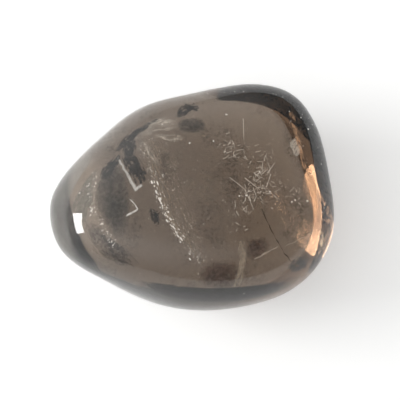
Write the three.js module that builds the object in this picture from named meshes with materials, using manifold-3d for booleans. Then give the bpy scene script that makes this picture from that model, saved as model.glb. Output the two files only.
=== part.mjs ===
// A tumbled smoky quartz pebble: one solid piece of crystal, in millimetres, +Z up.
// A broken chunk of quartz has a few broad faces. Tumbling with grit wears its edges and corners
// round and leaves the faces a little domed, and the flattest face is the one that it lies on.
// The origin is on the surface that it lies on, under the middle of its bounding box. The narrow
// nose points to -X and the tall blunt end to +X.
import * as THREE from "three";
import { mergeVertices } from "three/addons/utils/BufferGeometryUtils.js";
import Module from "manifold-3d";

// The waist of the stone as seen from straight above, in order round it: its widest outline.
const outline = [
  [-17.4, -1.5], // tip of the nose
  [-16.4, 2],
  [-12.5, 7], // long straight flank
  [-7, 11.5],
  [0, 13.3],
  [8, 14.2], // top of the blunt end
  [12.5, 12.6],
  [15.3, 8.8],
  [17, 3], // straight end face
  [17.8, -4],
  [16, -8.5],
  [12, -12],
  [5, -14], // belly
  [-2, -13.8],
  [-10, -10.8],
  [-15.5, -7],
];

// The worn faces: the bearing round Z from +X and the rise above the waist of each one's normal,
// both in degrees, and how far the face lies from the middle of the stone.
const wornFaces = [
  { name: "crown", bearing: 75, rise: 80, reach: 11 },
  { name: "bed", bearing: 0, rise: -90, reach: 10 },
  { name: "nose slope", bearing: 160, rise: 65, reach: 16 },
  { name: "flank slope", bearing: 150, rise: 35, reach: 14 },
  { name: "far slope", bearing: 85, rise: 60, reach: 14 },
  { name: "end bevel", bearing: 5, rise: 35, reach: 16.5 },
  { name: "belly slope", bearing: -75, rise: 45, reach: 17.5 },
  { name: "near nose slope", bearing: -115, rise: 60, reach: 15.5 },
  { name: "nose undercut", bearing: 190, rise: -30, reach: 14 },
  { name: "far undercut", bearing: 75, rise: -50, reach: 15 },
  { name: "end undercut", bearing: 25, rise: -40, reach: 12.5 },
  { name: "belly undercut", bearing: -70, rise: -50, reach: 13.5 },
];

const edgeWear = 5; // sharpness of the worn edges: 2 is an egg, 12 is a fresh break
const bedDepth = 9.2; // from the middle of the stone down to the flat that it lies on
const meshDetail = 15; // splits of each edge of the icosahedron that the surface starts from
const outlineSteps = 720;
const cutterSize = 60; // larger than the stone

// The outline's reach from the middle, by bearing.
const ring = new THREE.CatmullRomCurve3(
  outline.map(([x, y]) => new THREE.Vector3(x, y, 0)),
  true,
  "centripetal",
);
const ringPoints = ring
  .getPoints(outlineSteps)
  .map((p) => ({ bearing: Math.atan2(p.y, p.x), reach: Math.hypot(p.x, p.y) }))
  .sort((a, b) => a.bearing - b.bearing);

function waistReach(bearing) {
  let after = ringPoints.findIndex((p) => p.bearing >= bearing);
  if (after < 0) after = 0;
  const a = ringPoints[(after + ringPoints.length - 1) % ringPoints.length];
  const b = ringPoints[after];
  const turn = (angle) => Math.atan2(Math.sin(angle), Math.cos(angle));
  const span = turn(b.bearing - a.bearing);
  const share = span ? turn(bearing - a.bearing) / span : 0;
  return a.reach + (b.reach - a.reach) * share;
}

const faceNormals = wornFaces.map(({ bearing, rise, reach }) => {
  const b = THREE.MathUtils.degToRad(bearing);
  const r = THREE.MathUtils.degToRad(rise);
  const normal = new THREE.Vector3(
    Math.cos(b) * Math.cos(r),
    Math.sin(b) * Math.cos(r),
    Math.sin(r),
  );
  return { normal, reach };
});

// How far the worn surface lies from the middle, along a unit direction. The outline and every
// face each take their share, and the power sets how closely the surface keeps to the nearest.
function surfaceReach(direction) {
  const level = Math.hypot(direction.x, direction.y);
  const waist = level / waistReach(Math.atan2(direction.y, direction.x));
  let sum = Math.pow(waist, edgeWear);
  for (const { normal, reach } of faceNormals) {
    const share = Math.max(0, normal.dot(direction)) / reach;
    sum += Math.pow(share, edgeWear);
  }
  return Math.pow(sum, -1 / edgeWear);
}

// The point of the surface along a unit direction. The slopes and undercuts wear the waist in a
// little, so each level section is stretched back out to the outline, less towards the poles.
function surfacePoint(direction) {
  const bearing = Math.atan2(direction.y, direction.x);
  const outwards = new THREE.Vector3(Math.cos(bearing), Math.sin(bearing), 0);
  const lost = waistReach(bearing) / surfaceReach(outwards);
  const level = Math.hypot(direction.x, direction.y);
  const stretch = 1 + (lost - 1) * level * level;
  const point = direction.clone().multiplyScalar(surfaceReach(direction));
  return point.multiply(new THREE.Vector3(stretch, stretch, 1));
}

function roundedChunk() {
  const geometry = new THREE.IcosahedronGeometry(1, meshDetail);
  geometry.deleteAttribute("normal");
  geometry.deleteAttribute("uv");
  const merged = mergeVertices(geometry, 1e-5);
  const position = merged.getAttribute("position");
  const direction = new THREE.Vector3();
  for (let i = 0; i < position.count; i++) {
    direction.fromBufferAttribute(position, i).normalize();
    const point = surfacePoint(direction);
    position.setXYZ(i, point.x, point.y, point.z + bedDepth);
  }
  return merged;
}

const wasm = await Module();
wasm.setup();

function toSolid(geometry) {
  return new wasm.Manifold(
    new wasm.Mesh({
      numProp: 3,
      vertProperties: new Float32Array(geometry.getAttribute("position").array),
      triVerts: new Uint32Array(geometry.index.array),
    }),
  );
}

function toGeometry(solid) {
  const mesh = solid.getMesh();
  const geometry = new THREE.BufferGeometry();
  geometry.setAttribute(
    "position",
    new THREE.BufferAttribute(new Float32Array(mesh.vertProperties), 3),
  );
  geometry.setIndex(new THREE.BufferAttribute(mesh.triVerts, 1));
  return geometry;
}

// Everything under Z = 0 is ground away, which leaves the small flat that the stone lies on.
function flattenBed(solid) {
  const cutter = new THREE.BoxGeometry(cutterSize, cutterSize, cutterSize);
  cutter.deleteAttribute("normal");
  cutter.deleteAttribute("uv");
  cutter.translate(0, 0, -cutterSize / 2);
  return solid.subtract(toSolid(mergeVertices(cutter, 1e-5)));
}

const stoneGeometry = toGeometry(flattenBed(toSolid(roundedChunk())));
stoneGeometry.computeBoundingBox();
const middle = stoneGeometry.boundingBox.getCenter(new THREE.Vector3());
stoneGeometry.translate(-middle.x, -middle.y, 0);
stoneGeometry.computeVertexNormals();

const smokyQuartz = new THREE.MeshStandardMaterial({
  color: 0x716559,
  roughness: 0.05,
  metalness: 0,
});
const stone = new THREE.Mesh(stoneGeometry, smokyQuartz);
stone.name = "smoky_quartz_stone";

const group = new THREE.Group();
group.add(stone);
export default group;
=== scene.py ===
import math
import random

import bmesh
import bpy
from mathutils import Euler, Matrix, Vector, noise
from mathutils.bvhtree import BVHTree


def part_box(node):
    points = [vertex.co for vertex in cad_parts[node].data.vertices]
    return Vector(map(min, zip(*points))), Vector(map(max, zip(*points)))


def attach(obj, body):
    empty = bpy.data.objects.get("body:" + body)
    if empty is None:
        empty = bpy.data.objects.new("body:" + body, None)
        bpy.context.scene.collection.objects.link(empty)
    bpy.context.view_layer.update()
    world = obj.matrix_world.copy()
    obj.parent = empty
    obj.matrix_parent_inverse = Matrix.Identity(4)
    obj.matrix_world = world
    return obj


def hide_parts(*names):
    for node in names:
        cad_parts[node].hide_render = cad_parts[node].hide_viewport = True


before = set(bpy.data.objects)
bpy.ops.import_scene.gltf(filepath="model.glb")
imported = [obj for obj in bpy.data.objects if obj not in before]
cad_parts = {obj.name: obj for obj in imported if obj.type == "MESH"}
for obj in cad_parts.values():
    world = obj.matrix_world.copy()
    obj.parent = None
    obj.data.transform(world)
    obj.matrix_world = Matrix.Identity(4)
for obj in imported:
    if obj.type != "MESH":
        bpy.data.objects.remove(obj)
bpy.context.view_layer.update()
scene = bpy.context.scene

# ---- Camera -----------------------------------------------------------------------------------
# The camera stands on the side of the stone's round belly and looks down on it, 15 degrees off
# plumb, through a long lens. Its view is a little wider than the stone is long.
STONE = "smoky_quartz_stone"
MM = 0.001
low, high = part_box(STONE)
length, width, height = high - low
middle = (low + high) / 2

camera_rise = math.radians(75)
view_width = 1.415 * length
aim = middle + length * Vector((0.028, -0.013, 0))

camera = bpy.data.cameras.new("camera")
camera.lens = 100
camera.clip_start = 0.005
camera.clip_end = 10
stand_off = view_width / 2 / (camera.sensor_width / 2 / camera.lens)
camera_stand = bpy.data.objects.new("camera", camera)
camera_stand.location = aim + stand_off * Vector((0, -math.cos(camera_rise), math.sin(camera_rise)))
camera_stand.rotation_euler = Euler((math.pi / 2 - camera_rise, 0, 0))
scene.collection.objects.link(camera_stand)
scene.camera = camera_stand
scene.view_settings.view_transform = "Standard"
scene.cycles.transparent_max_bounces = 32  # light crosses many thin films in the stone


# ---- Room -------------------------------------------------------------------------------------
# A white room with daylight from the left, the side of the stone's nose. The wall and the ceiling
# on that side are bright, the opposite corner is dim, and so is the ceiling just past the stone,
# which the crown mirrors. There is no lamp other than the window.
class Value:
    """An output socket. Sums, differences, products and powers of it add Math nodes."""

    def __init__(self, nodes, socket):
        self.nodes = nodes
        self.socket = socket

    def maths(self, operation, *values):
        inputs = {place: value for place, value in enumerate(values)}
        return self.nodes.add("ShaderNodeMath", {"operation": operation}, inputs)

    def __add__(self, other):
        return self.maths("ADD", self, other)

    def __sub__(self, other):
        return self.maths("SUBTRACT", self, other)

    def __mul__(self, other):
        return self.maths("MULTIPLY", self, other)

    def __pow__(self, other):
        return self.maths("POWER", self, other)


class Nodes:
    """The node tree of a material or of the room."""

    def __init__(self, owner):
        owner.use_nodes = True
        self.tree = owner.node_tree

    def add(self, kind, settings=None, inputs=None, output=0):
        """A new node: its settings are set first, then its sockets by values or links."""
        node = self.tree.nodes.new(kind)
        for name, setting in (settings or {}).items():
            setattr(node, name, setting)
        self.feed(node, inputs or {})
        return Value(self, node.outputs[output])

    def feed(self, node, inputs):
        """Sets a node's sockets, each by its name or number, to a value or a link."""
        for name, value in inputs.items():
            if isinstance(value, Value):
                self.tree.links.new(value.socket, node.inputs[name])
            else:
                node.inputs[name].default_value = value

    def fade(self, value, start, end, to_start=0.0, to_end=1.0):
        """A soft step from one level to another as the value goes from start to end."""
        inputs = {"Value": value, "From Min": start, "From Max": end,
                  "To Min": to_start, "To Max": to_end}
        return self.add("ShaderNodeMapRange", {"interpolation_type": "SMOOTHSTEP"}, inputs)

    def mix_colours(self, share, first, second):
        """The first colour where the share is 0 and the second where it is 1."""
        settings = {"data_type": "RGBA"}
        return self.add("ShaderNodeMix", settings, {0: share, 6: first, 7: second}, output=2)


def heading(bearing, rise):
    """The unit direction at a bearing round Z from +X and a rise above the level, in degrees."""
    b, r = math.radians(bearing), math.radians(rise)
    return Vector((math.cos(b) * math.cos(r), math.sin(b) * math.cos(r), math.sin(r)))


room = bpy.data.worlds.new("room")
scene.world = room
nodes = Nodes(room)
sight = nodes.add("ShaderNodeTexCoord", output=0)
daylight = 0.25
darkest_daylight = 0.04
sides = (  # how much each adds, and the cosines of the angle from it where that starts and is full
    {"towards": heading(165, 45), "strength": 1.35, "edge": -0.05, "full": 1.0},
    {"towards": heading(220, -5), "strength": 0.22, "edge": 0.42, "full": 0.82},
    {"towards": heading(90, 72), "strength": -0.8, "edge": 0.55, "full": 0.95},
)
for side in sides:
    facing = nodes.add("ShaderNodeVectorMath", {"operation": "DOT_PRODUCT"},
                       {0: sight, 1: side["towards"]}, output=1)
    daylight = nodes.fade(facing, side["edge"], side["full"], 0.0, side["strength"]) + daylight
daylight = daylight.maths("MAXIMUM", daylight, darkest_daylight)
nodes.feed(nodes.tree.nodes["Background"], {"Color": (1, 1, 1, 1), "Strength": daylight})

# ---- Window -----------------------------------------------------------------------------------
# The window itself, low on the left. It is seen as a small white rectangle on the nose and,
# through the stone, as a warm strip inside the blunt end.
window_way = heading(180, 24)
window_distance = 0.35
window_radiance = 18
window = bpy.data.lights.new("window", "AREA")
window.shape = "RECTANGLE"
window.size = 0.165
window.size_y = 0.075
window.energy = window_radiance * math.pi * window.size * window.size_y
window_frame = bpy.data.objects.new("window", window)
window_frame.location = window_distance * window_way
window_frame.rotation_euler = (-window_way).to_track_quat("-Z", "Y").to_euler()
scene.collection.objects.link(window_frame)

# ---- Table ------------------------------------------------------------------------------------
# A sheet of smooth white card that runs out past the view on every side and glows faintly, as
# card on a light table does. It lies a hair below the stone, so that the flat of the stone and
# the card never share a plane.
card_radius = 1.5
card_gap = 0.15 * MM
card_mesh = bmesh.new()
bmesh.ops.create_circle(card_mesh, cap_ends=True, segments=96, radius=card_radius)
bmesh.ops.translate(card_mesh, verts=card_mesh.verts, vec=(0, 0, low.z - card_gap))
card = bpy.data.objects.new("white_card", bpy.data.meshes.new("white_card"))
card_mesh.to_mesh(card.data)
card_mesh.free()
scene.collection.objects.link(card)

paper = bpy.data.materials.new("white_card")
nodes = Nodes(paper)
place = nodes.add("ShaderNodeTexCoord", output=3)
fibres = nodes.add("ShaderNodeTexNoise", {}, {"Vector": place, "Scale": 1800.0, "Detail": 3.0})
tooth = nodes.add("ShaderNodeBump", {}, {"Height": fibres, "Strength": 0.15, "Distance": 0.05 * MM})
nodes.feed(nodes.tree.nodes["Principled BSDF"], {
    "Base Color": (0.9, 0.9, 0.89, 1),
    "Roughness": 0.8,
    "Specular IOR Level": 0.2,
    "Emission Color": (1, 1, 1, 1),
    "Emission Strength": 0.32,
    "Normal": tooth,
})
card.data.materials.append(paper)

# ---- Stone ------------------------------------------------------------------------------------
# The pebble: one piece of smoky quartz, worn round by tumbling with finer and finer grit and
# polished to a wet shine. The worn skin is taken from the solid and made smooth and fine.
heart_level = 0.48  # the share of the height at which the heart of the stone lies
smoothing_rounds = 10
heart = Vector((middle.x, middle.y, low.z + heart_level * height))
solid = bmesh.new()
solid.from_mesh(bpy.data.objects[STONE].data)
bmesh.ops.remove_doubles(solid, verts=solid.verts, dist=0.01 * MM)
solid_skin = BVHTree.FromBMesh(solid)
solid.free()

stone_mesh = bmesh.new()
bmesh.ops.create_icosphere(stone_mesh, subdivisions=7, radius=1)
for vert in stone_mesh.verts:
    vert.co = solid_skin.ray_cast(heart, vert.co.normalized())[0]
for _ in range(smoothing_rounds):
    bmesh.ops.smooth_vert(stone_mesh, verts=stone_mesh.verts, factor=0.5,
                          use_axis_x=True, use_axis_y=True, use_axis_z=True)

# Tumbling leaves shallow hollows and swells, too low to feel but plain in the reflections.
wave_length = 5.5 * MM
wave_depth = 0.03 * MM
stone_mesh.normal_update()
for vert in stone_mesh.verts:
    wave = noise.fractal(vert.co / wave_length, 1.0, 2.0, 2)
    vert.co += vert.normal * wave * wave_depth
    vert.co.z = max(vert.co.z, low.z)
stone_mesh.normal_update()
skin = BVHTree.FromBMesh(stone_mesh)

stone = bpy.data.objects.new("smoky_quartz_pebble", bpy.data.meshes.new("smoky_quartz_pebble"))
stone_mesh.to_mesh(stone.data)
stone_mesh.free()
stone.data.shade_smooth()
scene.collection.objects.link(stone)

quartz = bpy.data.materials.new("smoky_quartz")
smoke_colour = (0.63, 0.54, 0.45, 1)
smoke_density = 143.0  # per metre of the light's way through the stone
nodes = Nodes(quartz)
nodes.feed(nodes.tree.nodes["Principled BSDF"], {
    "Base Color": (0.8, 0.78, 0.75, 1),
    "Roughness": 0.0,
    "IOR": 1.544,
    "Transmission Weight": 0.985,
})
smoke = nodes.add("ShaderNodeVolumeAbsorption", {}, {"Color": smoke_colour, "Density": smoke_density})
nodes.feed(nodes.tree.nodes["Material Output"], {"Volume": smoke})
stone.data.materials.append(quartz)
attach(stone, "root")
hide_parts(STONE)

# ---- Healed veil ------------------------------------------------------------------------------
# The largest flaw: an old crack that healed while the crystal grew. It dips from just under the
# crown down towards the far side, a pale film drawn out into long feathery wisps.
up = Vector((0, 0, 1))


def under_crown(along, across, depth):
    """A place in the stone: shares of its half length and half width from the middle, and how
    many millimetres it lies below the skin. A place outside the outline moves in to it."""
    spot = Vector((along * length / 2, across * width / 2, 0))
    top = None
    while top is None:
        top = skin.ray_cast(middle + spot + height * up, -up)[0]
        spot *= 0.99
    return top - depth * MM * up


def rows_of(*rows):
    """Rows of places in the stone, each place given as under_crown takes it."""
    return [[under_crown(*place) for place in row] for row in rows]


def along_row(row, share):
    """The place at a share of the way along a row of places, on a smooth curve through them."""
    step = min(int(share * (len(row) - 1)), len(row) - 2)
    t = share * (len(row) - 1) - step
    before, start, end, after = (row[min(max(step + i, 0), len(row) - 1)] for i in (-1, 0, 1, 2))
    leave = (end - before) / 2
    arrive = (after - start) / 2
    return (start * (2 * t**3 - 3 * t**2 + 1) + leave * (t**3 - 2 * t**2 + t)
            + end * (3 * t**2 - 2 * t**3) + arrive * (t**3 - t**2))


def add_piece(name, mesh, finish):
    """Makes the mesh a piece of the stone, in the given finish."""
    piece = bpy.data.objects.new(name, bpy.data.meshes.new(name))
    mesh.to_mesh(piece.data)
    mesh.free()
    piece.data.materials.append(finish)
    scene.collection.objects.link(piece)
    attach(piece, "root")
    return piece


def lay_film(name, rows, finish, ripple=0.2, crumple=1.5, thickness=0.03, steps=(64, 24)):
    """A thin film through rows of places. It ripples by that many millimetres over a crumple."""
    film = bmesh.new()
    film.loops.layers.uv.new("UVMap")
    bmesh.ops.create_grid(film, x_segments=steps[0], y_segments=steps[1], size=0.5, calc_uvs=True)
    for vert in film.verts:
        u, v = vert.co.x + 0.5, vert.co.y + 0.5
        place = along_row([along_row(row, u) for row in rows], v)
        vert.co = place + noise.noise_vector(place / (crumple * MM)) * ripple * MM
    piece = add_piece(name, film, finish)
    piece.data.shade_smooth()
    wall = piece.modifiers.new("thickness", "SOLIDIFY")
    wall.thickness = thickness * MM
    wall.offset = 0


def dim(shade):
    """The duller tint of a shade, for the thinner places of a film."""
    return (*[0.6 * part for part in shade], 1)


def film_finish(name, shade, cover, grain=(2, 5), density=(0.3, 0.7), body=0.0, edge=(1.0, 0.0),
                ragged=0.7, tears=4.0, corners=1.0, fray=0.0, speckle=0.3, thins=0.0, dark=None,
                glow=0.0):
    """A film that hides what lies behind it by its cover, most of all in its wisps.

    The grain is how many wisps it has along and across. The density is where their cover starts
    and where it is full, and the body is the share of it outside them. Its edge fades out
    between two reaches, and is as ragged as that, with that many tears. Its corners run from 1,
    round, to 3, nearly square. It can fray into its wisps towards its edge. The speckle is
    dust-fine, the film thins towards its last row, and a dark shade takes over in patches."""
    finish = bpy.data.materials.new(name)
    nodes = Nodes(finish)
    flat = nodes.add("ShaderNodeTexCoord", output=2)
    place = nodes.add("ShaderNodeTexCoord", output=3)
    along = nodes.add("ShaderNodeSeparateXYZ", {}, {0: flat}, output=0) * 2 - 1
    across = nodes.add("ShaderNodeSeparateXYZ", {}, {0: flat}, output=1) * 2 - 1
    drift = nodes.add("ShaderNodeTexNoise", {}, {"Vector": flat, "Scale": 3.0}, output=1)
    pushed = nodes.add("ShaderNodeMix", {"data_type": "VECTOR"}, {0: 0.15, 4: flat, 5: drift}, output=1)
    stretched = nodes.add("ShaderNodeMapping", {}, {"Vector": pushed, "Scale": (*grain, 1.0)})
    wisps = nodes.add("ShaderNodeTexNoise", {},
                      {"Vector": stretched, "Scale": 1.0, "Detail": 7.0, "Roughness": 0.66})
    bites = nodes.add("ShaderNodeTexNoise", {},
                      {"Vector": flat, "Scale": tears, "Detail": 6.0, "Roughness": 0.7})
    dust = nodes.add("ShaderNodeTexNoise", {}, {"Vector": place, "Scale": 2600.0, "Detail": 2.0})
    reach = (along * along) ** corners + (across * across) ** corners
    inner = nodes.fade(reach + (bites - 0.5) * (2 * ragged), *edge)
    grains = nodes.fade(dust, 0.40, 0.60, 1 - speckle, 1.0)
    thick = nodes.fade(across, -0.8, 1.0, cover, cover * (1 - thins))
    filled = nodes.fade(wisps + (inner - 1) * fray, *density, body, 1.0)
    colour = nodes.mix_colours(wisps, dim(shade), (*shade, 1))
    if dark:
        colour = nodes.mix_colours(nodes.fade(bites, 0.44, 0.56), (*dark, 1), colour)
    # Its glow is painted light: a film with a glow shines by itself, though it is no lamp.
    nodes.feed(nodes.tree.nodes["Principled BSDF"], {
        "Base Color": colour,
        "Roughness": 0.5,
        "Specular IOR Level": 0.0,
        "Alpha": filled * inner * grains * thick,
        "Emission Color": (*shade, 1),
        "Emission Strength": glow,
    })
    return finish


noise.seed_set(5)  # the ripples of every film
veil_near, veil_far = rows_of(
    ((-0.4, 0.4, 1.4), (-0.3, 0.1, 1.8), (-0.2, -0.25, 2.2), (-0.1, -0.45, 2.6), (0.05, -0.65, 3.0)),
    ((-0.2, 0.5, 3.0), (-0.1, 0.15, 5.0), (0.0, -0.15, 6.0), (0.05, -0.4, 5.5), (0.1, -0.65, 4.5)),
)
veil_sag = 0.6 * MM * up
veil_middle = [(near + far) / 2 - veil_sag for near, far in zip(veil_near, veil_far)]
veil_rows = (veil_near, veil_middle, veil_far)
# The veil glows faintly: painted light that brightens its pale wisps.
veil_film = film_finish(
    "veil", (0.88, 0.76, 0.62), 0.90, grain=(2.5, 15.0), density=(0.40, 0.70), body=0.28, ragged=0.5,
    corners=2, thins=0.6, glow=0.10,
)
lay_film("veil", veil_rows, veil_film, ripple=0.35, crumple=2.2)

feathers = {
    "veil_crest": rows_of(((-0.35, 0.35, 1.2), (-0.25, 0.1, 1.4)),
                          ((-0.3, 0.35, 1.4), (-0.2, 0.1, 1.6))),
    "veil_plume": rows_of(((-0.25, 0.35, 1.2), (-0.05, 0.3, 1.2)),
                          ((-0.25, 0.4, 1.3), (-0.05, 0.4, 1.3))),
    "veil_root": rows_of(((-0.4, 0.45, 0.8), (-0.25, 0.55, 0.8), (-0.1, 0.6, 0.8)),
                         ((-0.35, 0.35, 1.2), (-0.25, 0.4, 1.2), (-0.1, 0.4, 1.2))),
}
# The feathers glow a little more: painted light on the brightest wisps.
feather_film = film_finish(
    "veil_feather", (0.94, 0.86, 0.75), 0.90, grain=(3.0, 12.0), density=(0.43, 0.66), glow=0.18,
)
for name, rows in feathers.items():
    lay_film(name, rows, feather_film, ripple=0.25, crumple=1.2)

# ---- Veil bubbles -----------------------------------------------------------------------------
# The bubbles that the healed crack trapped: flat, bright and tiny. They lie in ragged clumps
# down its upper edge, drawn out along it, and sparsely over the rest of the film.
def add_flake(mesh, size, flatness, turn):
    """A flat six-sided crumb: its radius in millimetres, its share of that in depth, its turn."""
    bmesh.ops.create_cone(mesh, cap_ends=True, segments=6, radius1=size * MM,
                          radius2=0.6 * size * MM, depth=flatness * size * MM, matrix=turn)


def add_fleck(mesh, place, size, facing, rng, flatness=0.25):
    """A flake at a place, facing roughly that way and a little stretched."""
    tilt = facing + Vector([rng.uniform(-0.7, 0.7) for _ in range(3)])
    turn = tilt.to_track_quat("Z", "Y").to_matrix().to_4x4()
    spin = Matrix.Rotation(rng.uniform(0, math.tau), 4, "Z")
    stretch = Matrix.Diagonal((rng.uniform(0.6, 1.6), 1.0, 1.0, 1.0))
    add_flake(mesh, size, flatness, Matrix.Translation(place) @ turn @ spin @ stretch)


def well_inside(place, margin=0.25):
    """Whether a place is in the stone and at least that many millimetres below its skin."""
    near, outwards, _, gap = skin.find_nearest(place)
    return (place - near).dot(outwards) < 0 and gap > margin * MM


def glint_finish(name, shade, metallic, roughness, glow=0.0):
    """Bubble walls and hairline gaps: they mirror the room, a little brighter here and there.
    Their glow is a painted glint.
    """
    finish = bpy.data.materials.new(name)
    nodes = Nodes(finish)
    place = nodes.add("ShaderNodeTexCoord", output=3)
    patches = nodes.add("ShaderNodeTexNoise", {}, {"Vector": place, "Scale": 900.0})
    nodes.feed(nodes.tree.nodes["Principled BSDF"], {
        "Base Color": nodes.mix_colours(patches, dim(shade), (*shade, 1)),
        "Metallic": metallic,
        "Roughness": roughness,
        "Emission Color": (*shade, 1),
        "Emission Strength": glow,
    })
    return finish


rng = random.Random(11)
# The bubbles are partly lit by a painted glint: their finish glows as well as mirroring the room.
bubble_glint = glint_finish("bubble_glint", (0.97, 0.95, 0.91), 0.5, 0.3, glow=0.6)
bubbles = bmesh.new()
clumps = (  # where along the upper edge of the veil, how many bubbles
    (0.18, 6), (0.30, 12), (0.36, 9), (0.43, 14), (0.50, 16),
    (0.55, 9), (0.64, 10), (0.72, 18), (0.80, 13), (0.90, 8),
)
for centre, count in clumps:
    for _ in range(count):
        share = min(max(rng.gauss(centre, 0.022), 0), 1)
        edge = along_row(veil_near, share)
        way = (along_row(veil_near, min(share + 0.05, 1)) - edge).normalized()
        place = edge + (along_row(veil_far, share) - edge) * abs(rng.gauss(0, 0.10))
        place += Vector([rng.gauss(0, 0.18) * MM for _ in range(3)])
        size = 0.022 + 0.10 * rng.random() ** 3
        side = way.cross(Vector((rng.gauss(0, 0.4), rng.gauss(0, 0.4), 1))).normalized()
        turn = Matrix((side, way, side.cross(way))).transposed().to_4x4()
        stretch = Matrix.Diagonal((1.0, rng.uniform(1.0, 4.0), 1.0, 1.0))
        add_flake(bubbles, size, 0.3, Matrix.Translation(place) @ turn @ stretch)
stray_bubbles = 520
for _ in range(stray_bubbles):
    u, v = rng.random(), rng.random() ** 1.5
    place = along_row([along_row(row, u) for row in veil_rows], v)
    place += Vector([rng.gauss(0, 0.25) * MM for _ in range(3)])
    if well_inside(place):
        add_fleck(bubbles, place, 0.02 + 0.045 * rng.random() ** 2, Vector((-0.4, 0, 1)), rng)
add_piece("veil_bubbles", bubbles, bubble_glint)

# ---- Growth clouds ----------------------------------------------------------------------------
# Faint clouds through the whole crystal, where its smoke and its haze are thicker. They run in
# streaks along the way that it grew, and keep its brown from being even.
cloud_depth = 3.0
cloud_spread = 0.88  # how near to the rim they reach, as a share of the half length
shares = [cloud_spread * math.sin(math.radians(angle)) for angle in range(-90, 91, 15)]
rows = [[under_crown(along, across * math.sqrt(1 - 0.8 * along**2), cloud_depth) for along in shares]
        for across in shares]
cloud_film = film_finish(
    "growth_cloud", (0.60, 0.53, 0.43), 0.36, grain=(11.0, 5.0), density=(0.42, 0.72), ragged=0.5,
    tears=7.0, corners=2, speckle=0.7, dark=(0.03, 0.022, 0.016),
)
lay_film("growth_cloud", rows, cloud_film, ripple=0.5, crumple=3.0, steps=(80, 80))

# ---- Step fracture ----------------------------------------------------------------------------
# Fresh cracks between the veil and the nose, inside the crystal. They stand nearly upright, so
# that they show as white crushed lines: a long one with a short hook at its end, and a small tick.
# Part of their white is painted light: the crushed finish glows.
crushed = film_finish(
    "crushed_edge", (0.92, 0.91, 0.88), 1.0, grain=(14.0, 2.0), density=(0.30, 0.50), ragged=0.4,
    tears=14.0, corners=3, glow=0.30,
)
fresh_cracks = {  # ripple, rows
    "step_fracture_edge": (0.10, rows_of(((-0.5, 0.2, 1.4), (-0.37, -0.12, 1.8)),
                                         ((-0.49, 0.21, 1.6), (-0.35, -0.1, 2.0)))),
    "step_fracture_hook": (0.05, rows_of(((-0.38, -0.1, 1.8), (-0.33, -0.05, 1.8)),
                                         ((-0.37, -0.12, 1.9), (-0.32, -0.07, 1.9)))),
    "tick_fracture": (0.05, rows_of(((-0.43, -0.33, 1.5), (-0.35, -0.27, 1.5), (-0.4, -0.18, 1.5)),
                                    ((-0.43, -0.31, 1.6), (-0.36, -0.26, 1.6), (-0.41, -0.18, 1.6)))),
}
for name, (ripple, rows) in fresh_cracks.items():
    lay_film(name, rows, crushed, ripple=ripple, crumple=0.5, steps=(60, 4))

# ---- Dark gaps --------------------------------------------------------------------------------
# Air gaps in cracks: behind the step, close under the skin of the long flank and the far side,
# beside the veil, and in the near corner. Their darkness is a painted reflection: dark, ragged
# films for the dim room that the cracks mirror.
gap_painted_dark = film_finish(
    "painted_dark_gap", (0.018, 0.018, 0.017), 0.99, grain=(6.0, 7.0), density=(0.26, 0.42), edge=(1.6, -0.3),
    ragged=0.8, tears=9.0, fray=0.45, speckle=0.35,
)
gaps = {
    "step_gap": rows_of(((-0.5, 0.2, 1.8), (-0.35, -0.1, 2.0)),
                        ((-0.4, 0.3, 2.4), (-0.25, 0.0, 2.8))),
    "flank_gap_high": rows_of(((-0.5, 0.25, 0.6), (-0.4, 0.45, 0.6)),
                              ((-0.4, 0.15, 1.2), (-0.35, 0.3, 1.2))),
    "flank_gap_low": rows_of(((-0.65, 0.05, 0.6), (-0.5, 0.25, 0.6)),
                             ((-0.55, -0.05, 1.4), (-0.45, 0.2, 1.4))),
    "flank_seam": rows_of(((-0.55, 0.25, 0.5), (-0.4, 0.45, 0.5), (-0.2, 0.6, 0.5)),
                          ((-0.5, 0.2, 0.7), (-0.4, 0.35, 0.7), (-0.2, 0.55, 0.7))),
    "far_gap": rows_of(((-0.15, 0.55, 0.5), (-0.05, 0.7, 0.5), (0.05, 0.7, 0.5)),
                       ((-0.1, 0.5, 1.0), (0.0, 0.6, 1.0), (0.1, 0.6, 1.0))),
    "veil_gap": rows_of(((-0.3, -0.25, 2.4), (-0.2, -0.25, 2.4)),
                        ((-0.25, -0.4, 2.6), (-0.2, -0.4, 2.6))),
    "corner_gap": rows_of(((0.6, -0.65, 1.4), (0.8, -0.55, 1.0)),
                          ((0.65, -0.75, 1.4), (0.8, -0.65, 1.0))),
}
for name, rows in gaps.items():
    lay_film(name, rows, gap_painted_dark, ripple=0.25, crumple=1.0)

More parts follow.
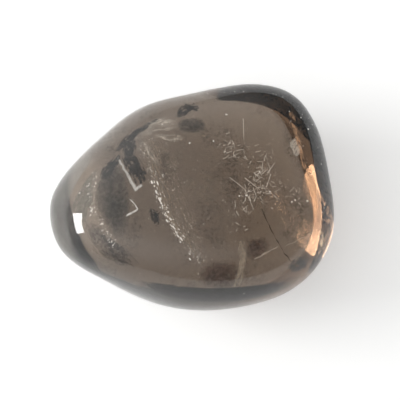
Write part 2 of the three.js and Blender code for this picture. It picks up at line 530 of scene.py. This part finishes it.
# ---- Nose fractures ---------------------------------------------------------------------------
# Old healed cracks across the nose, and under the far side a small dark film that is a painted
# shadow. The cool ones are smooth, and bring a cool grey into the brown of the stone.
cool_film = film_finish(
    "cool_film", (0.07, 0.078, 0.074), 0.88, grain=(3.0, 3.0), density=(0.10, 0.65),
    edge=(1.1, -0.3), ragged=0.4,
)
pale_film = film_finish(
    "pale_film", (0.30, 0.32, 0.27), 0.50, grain=(4.0, 2.0), density=(0.2, 0.6), ragged=0.5,
)
brown_film = film_finish(
    "brown_film", (0.045, 0.036, 0.030), 0.7, grain=(3.0, 4.0), density=(0.25, 0.60), ragged=0.6,
    speckle=0.5,
)
nose_films = {
    "nose_cool_film": (cool_film, rows_of(((-0.6, 0.2, 0.8), (-0.65, -0.15, 0.8), (-0.55, -0.5, 0.8)),
                                          ((-0.4, 0.1, 1.6), (-0.4, -0.2, 1.6), (-0.4, -0.5, 1.6)))),
    "nose_pale_film": (pale_film, rows_of(((-0.7, 0.05, 0.5), (-0.8, -0.2, 0.5), (-0.75, -0.4, 0.5)),
                                          ((-0.6, 0.15, 0.6), (-0.65, -0.1, 0.6), (-0.65, -0.4, 0.6)))),
    "nose_brown_film": (brown_film, rows_of(((-0.75, -0.35, 0.8), (-0.6, -0.6, 1.0), (-0.4, -0.75, 1.0)),
                                            ((-0.6, -0.35, 1.2), (-0.5, -0.5, 1.4), (-0.3, -0.65, 1.4)))),
    # A painted shadow: a dark, cool film under the far side.
    "far_cool_film": (cool_film, rows_of(((-0.1, 0.55, 1.0), (0.1, 0.55, 1.0)),
                                         ((-0.1, 0.4, 1.2), (0.1, 0.4, 1.2)))),
}
for name, (finish, rows) in nose_films.items():
    lay_film(name, rows, finish, ripple=0.15, crumple=2.0)

# ---- Rim bands --------------------------------------------------------------------------------
# Films close under the turn of the stone. Round the far corner, the blunt end and the belly they
# are a painted reflection, dark where the rim mirrors dim things. On the nose a pale film is partly
# real frost and partly painted light.
def under_skin(bearing, rise, depth):
    """A place that many millimetres under the skin, seen from the heart at a bearing and rise."""
    way = heading(bearing, rise)
    return skin.ray_cast(heart, way)[0] - way * depth * MM


def bent(levels, share):
    """A level that runs in one smooth bend from the first, through the middle one, to the last."""
    first, half_way, last = levels
    return (first * (1 - share) * (1 - 2 * share) + half_way * 4 * share * (1 - share)
            + last * share * (2 * share - 1))


rim_painted_reflection = film_finish(
    "rim_painted_reflection", (0.014, 0.014, 0.013), 0.97, grain=(22.0, 3.0), density=(0.24, 0.50), body=0.5,
    edge=(1.0, 0.5), ragged=0.45, tears=9.0, corners=3, speckle=0.5,
)
belly_painted_reflection = film_finish(
    "belly_painted_reflection", (0.018, 0.014, 0.013), 0.96, grain=(9.0, 2.0), density=(0.20, 0.46), body=0.1,
    edge=(1.1, 0.0), ragged=0.5, tears=6.0, corners=2, fray=0.2, speckle=0.2,
)
nose_frost = film_finish(
    "nose_frost", (0.66, 0.67, 0.65), 0.34, grain=(3.0, 2.0), density=(0.10, 0.60), ragged=0.3,
    corners=2, speckle=0.1,
)
band_depth = 0.35
band_steps = 12
bands = {  # finish, its first and last bearing, its lower and its upper rise along it
    "far_rim_band": (rim_painted_reflection, (75, 20), (11, 9, 8), (32, 27, 22)),
    "end_rim_band": (rim_painted_reflection, (30, -35), (7, 8, 1), (19, 21, 10)),
    "belly_rim_band": (belly_painted_reflection, (-120, -40), (12, 12, 7), (23, 26, 16)),
    "nose_frost": (nose_frost, (-145, -200), (-4, -5, -4), (20, 24, 28)),
}
shares = [step / band_steps for step in range(band_steps + 1)]
for name, (finish, (start, end), *rises) in bands.items():
    rows = [[under_skin(start + (end - start) * share, bent(rise, share), band_depth) for share in shares]
            for rise in rises]
    lay_film(name, rows, finish, ripple=0.06, crumple=1.0, steps=(90, 12))

# ---- Painted window light ---------------------------------------------------------------------
# Films along the inside of the blunt end that shine by themselves: a painted strip of the window's
# light seen through the stone, in the warm colour that the light has after its way through the stone.
# Both finishes are painted light: warm films that glow with the window's light.
copper = film_finish(
    "painted_copper_light", (0.72, 0.44, 0.26), 0.80, grain=(10.0, 1.5), density=(0.34, 0.66), edge=(1.0, 0.1),
    ragged=0.5, tears=7.0, corners=3, speckle=0.4, glow=0.40,
)
gold = film_finish(
    "painted_gold_light", (1.0, 0.80, 0.56), 0.85, grain=(3.0, 3.0), density=(0.36, 0.62), tears=6.0, glow=0.6,
)
glows = {
    "end_glow": (copper, rows_of(((0.66, 0.65, 0.6), (0.7, 0.4, 0.6), (0.75, 0.1, 0.6)),
                                 ((0.7, 0.65, 0.6), (0.73, 0.4, 0.6), (0.78, 0.1, 0.6)))),
    "end_glow_low": (gold, rows_of(((0.84, -0.4, 0.5), (0.86, -0.5, 0.5)),
                                   ((0.88, -0.35, 0.5), (0.9, -0.5, 0.5)))),
}
for name, (finish, rows) in glows.items():
    lay_film(name, rows, finish, ripple=0.08, crumple=0.8, steps=(70, 8))

# ---- Needles ----------------------------------------------------------------------------------
# Hair-fine pale needles and splinters in the thick end, most of them in one tangle with a few
# long ones across it.
def add_needle(mesh, start, end, thickness):
    """A four-sided needle from one place to another, half as thick at its end."""
    line = end - start
    turn = line.to_track_quat("Z", "Y").to_matrix().to_4x4()
    bmesh.ops.create_cone(mesh, cap_ends=True, segments=4, radius1=thickness / 2 * MM,
                          radius2=thickness / 4 * MM, depth=line.length,
                          matrix=Matrix.Translation((start + end) / 2) @ turn)


# The needles glow: painted light that makes them brighter than the room alone would.
needle_white = glint_finish("needle_white", (0.95, 0.90, 0.82), 0.1, 0.4, glow=0.45)
needles = bmesh.new()
needle_bearings = (55, -50, 20, 100)
tangles = (  # where, how far it spreads along and across, how many, longest in mm
    ((0.45, 0.0, 2.4), (0.15, 0.25), 80, 0.9),
    ((0.4, -0.15, 2.4), (0.15, 0.15), 30, 0.8),
    ((0.25, 0.25, 2.0), (0.1, 0.15), 28, 0.9),
    ((0.4, 0.25, 2.4), (0.25, 0.25), 26, 0.6),
    ((0.3, -0.3, 2.4), (0.15, 0.3), 26, 0.7),
    ((0.65, -0.1, 2.0), (0.15, 0.15), 14, 0.6),
)
for (along, across, depth), (spread_along, spread_across), count, longest in tangles:
    for _ in range(count):
        start = under_crown(along + rng.gauss(0, 0.33) * spread_along,
                            across + rng.gauss(0, 0.33) * spread_across,
                            depth + rng.uniform(-1.0, 1.0))
        bearing = math.radians(rng.choice(needle_bearings) + rng.gauss(0, 14))
        reach = longest * rng.random() ** 1.8 + 0.12
        way = Vector((math.cos(bearing), math.sin(bearing), rng.uniform(-0.3, 0.3)))
        add_needle(needles, start, start + way * reach * MM, rng.uniform(0.035, 0.085))
long_needles = (
    ((0.25, 0.0, 2.0), (0.3, -0.05, 2.0)),
    ((0.3, -0.05, 2.0), (0.35, -0.1, 2.2)),
    ((0.35, -0.1, 2.2), (0.4, -0.25, 2.4)),
    ((0.35, 0.0, 2.2), (0.45, -0.1, 2.2)),
    ((0.5, 0.05, 2.0), (0.55, 0.15, 2.0)),
    ((0.35, 0.55, 2.0), (0.35, 0.35, 2.0)),
)
for start, end in long_needles:
    add_needle(needles, under_crown(*start), under_crown(*end), 0.075)
add_piece("needles", needles, needle_white)

# ---- Specks -----------------------------------------------------------------------------------
# Single bright specks and dust-fine bubbles all through the stone, thick round the nose crack and
# along the turn of the stone, and black grains between them.
def anywhere(lowest_share):
    """A place anywhere in the box of the stone above that share of its height."""
    along, across, upwards = rng.random(), rng.random(), rng.uniform(lowest_share, 1.0)
    return low + Vector((length * along, width * across, height * upwards))


specks = bmesh.new()
dust_count = 900
for _ in range(dust_count):
    place = anywhere(0.45)
    if well_inside(place, 0.4):
        add_fleck(specks, place, 0.02 + 0.05 * rng.random() ** 3, up, rng, flatness=0.8)
seam_count = 130
nose_seam = rows_of(((-0.65, 0.05, 0.7), (-0.65, -0.25, 0.7), (-0.5, -0.55, 1.0)))[0]
for _ in range(seam_count):
    place = along_row(nose_seam, rng.random())
    place += Vector((rng.gauss(0, 0.35), rng.gauss(0, 0.35), -abs(rng.gauss(0, 0.3)))) * MM
    if well_inside(place, 0.1):
        add_fleck(specks, place, 0.03 + 0.07 * rng.random() ** 2, up, rng, flatness=0.8)
rim_count = 60
for _ in range(rim_count):
    bearing = rng.choice((rng.uniform(25, 75), rng.uniform(-30, 30)))
    place = under_skin(bearing, rng.uniform(12, 26), 0.25)
    add_fleck(specks, place, 0.02 + 0.05 * rng.random() ** 2, up, rng, flatness=0.8)
bright_specks = (
    (0.35, -0.15), (0.3, -0.15), (-0.2, 0.5), (-0.45, -0.2), (0.15, 0.35), (0.0, 0.3),
    (0.65, -0.2), (0.7, -0.15), (0.75, -0.15), (0.5, -0.1), (0.45, 0.05), (0.25, 0.6),
)
for along, across in bright_specks:
    place = under_crown(along, across, 1.8) + Vector((rng.gauss(0, 0.2), rng.gauss(0, 0.2), 0)) * MM
    add_fleck(specks, place, rng.uniform(0.09, 0.13), up, rng, flatness=0.8)
skin_specks = ((-0.7, -0.05), (-0.75, -0.1), (0.8, 0.5), (0.75, 0.6))
for along, across in skin_specks:
    add_fleck(specks, under_crown(along, across, 0.5), 0.12, up, rng, flatness=0.8)
# The specks share the bubbles' finish, whose glow is a painted glint.
add_piece("specks", specks, bubble_glint)

grain_black = glint_finish("grain_black", (0.02, 0.02, 0.02), 0.0, 0.5)
grains = bmesh.new()
grain_belts = (  # first and last bearing, lowest and highest rise, how many
    ((75, 25), (16, 27), 150),
    ((25, -14), (12, 24), 110),
    ((-42, -125), (12, 24), 60),
    ((150, 80), (26, 40), 90),
)
for bearings, rises, count in grain_belts:
    for _ in range(count):
        place = under_skin(rng.uniform(*bearings), rng.uniform(*rises), rng.uniform(0.2, 0.6))
        add_fleck(grains, place, 0.02 + 0.06 * rng.random() ** 2, up, rng, flatness=0.5)
loose_grains = 260
for _ in range(loose_grains):
    place = anywhere(0.55)
    if well_inside(place, 0.4):
        add_fleck(grains, place, 0.02 + 0.05 * rng.random() ** 2, up, rng, flatness=0.5)
add_piece("black_grains", grains, grain_black)

# ---- End cracks -------------------------------------------------------------------------------
# Cracks in the thick end: a dark one that bends down to the belly, a pale one in two lengths that
# crosses it, and a small pale flake under the skin.
hairline = film_finish(
    "dark_hairline", (0.02, 0.016, 0.012), 0.95, grain=(8.0, 1.0), density=(0.2, 0.45), ragged=0.3,
    tears=12.0, corners=3,
)
# The pale finish glows a little: painted light that brightens the pale crack and the flake.
pale_edge = film_finish(
    "pale_crack", (0.92, 0.84, 0.74), 0.95, grain=(14.0, 2.0), density=(0.34, 0.54), ragged=0.4,
    tears=10.0, corners=3, glow=0.20,
)
steep = (0.06, 0.02, -0.3)
leaning = (0.08, 0.32, -0.6)
cracks = {  # finish, how far its face leans over in mm, its edge
    "dark_crack": (hairline, steep, ((0.45, -0.25, 1.6), (0.55, -0.5, 1.8), (0.65, -0.65, 1.4))),
    "pale_crack_near": (pale_edge, leaning, ((0.4, -0.65, 2.0), (0.55, -0.55, 2.0))),
    "pale_crack_far": (pale_edge, leaning, ((0.6, -0.55, 1.6), (0.8, -0.4, 1.2))),
}
for name, (finish, lean, edge) in cracks.items():
    crack = [under_crown(*place) for place in edge]
    side = [place + Vector(lean) * MM for place in crack]
    lay_film(name, (crack, side), finish, ripple=0.14, crumple=0.7, steps=(70, 5))
flake = rows_of(((0.65, 0.35, 0.9), (0.7, 0.2, 0.9)), ((0.7, 0.4, 0.9), (0.75, 0.3, 0.9)))
lay_film("end_flake", flake, pale_edge, ripple=0.15, crumple=0.6, steps=(30, 12))

# ---- Iron stains ------------------------------------------------------------------------------
# Rusty brown films where iron has crept into small cracks, and a milky streak beside them.
# The streak is a healed crack too, full of fine bubbles.
rust = film_finish(
    "iron_stain", (0.12, 0.038, 0.02), 0.75, grain=(2.0, 2.0), density=(0.10, 0.60),
    edge=(1.0, -0.4), ragged=0.5,
)
stains = {
    "iron_stain_upper": rows_of(((0.35, -0.5, 2.4), (0.5, -0.45, 2.4)),
                                ((0.35, -0.65, 2.8), (0.5, -0.6, 2.8))),
    "iron_stain_lower": rows_of(((0.05, -0.65, 2.2), (0.35, -0.65, 2.2)),
                                ((0.05, -0.85, 2.4), (0.3, -0.85, 2.4))),
}
for name, rows in stains.items():
    lay_film(name, rows, rust, ripple=0.3, crumple=1.0)
# The streak glows faintly: painted light on its pale bubbles.
milk = film_finish(
    "milky_streak", (0.84, 0.72, 0.58), 0.85, grain=(4.0, 4.0), density=(0.28, 0.60), ragged=0.5,
    tears=6.0, corners=2, glow=0.10,
)
streak = rows_of(((0.3, -0.5, 2.0), (0.3, -0.7, 2.0), (0.25, -0.9, 1.6)),
                 ((0.35, -0.5, 2.4), (0.35, -0.7, 2.4), (0.3, -0.9, 2.0)))
lay_film("milky_streak", streak, milk, ripple=0.2, crumple=0.8)
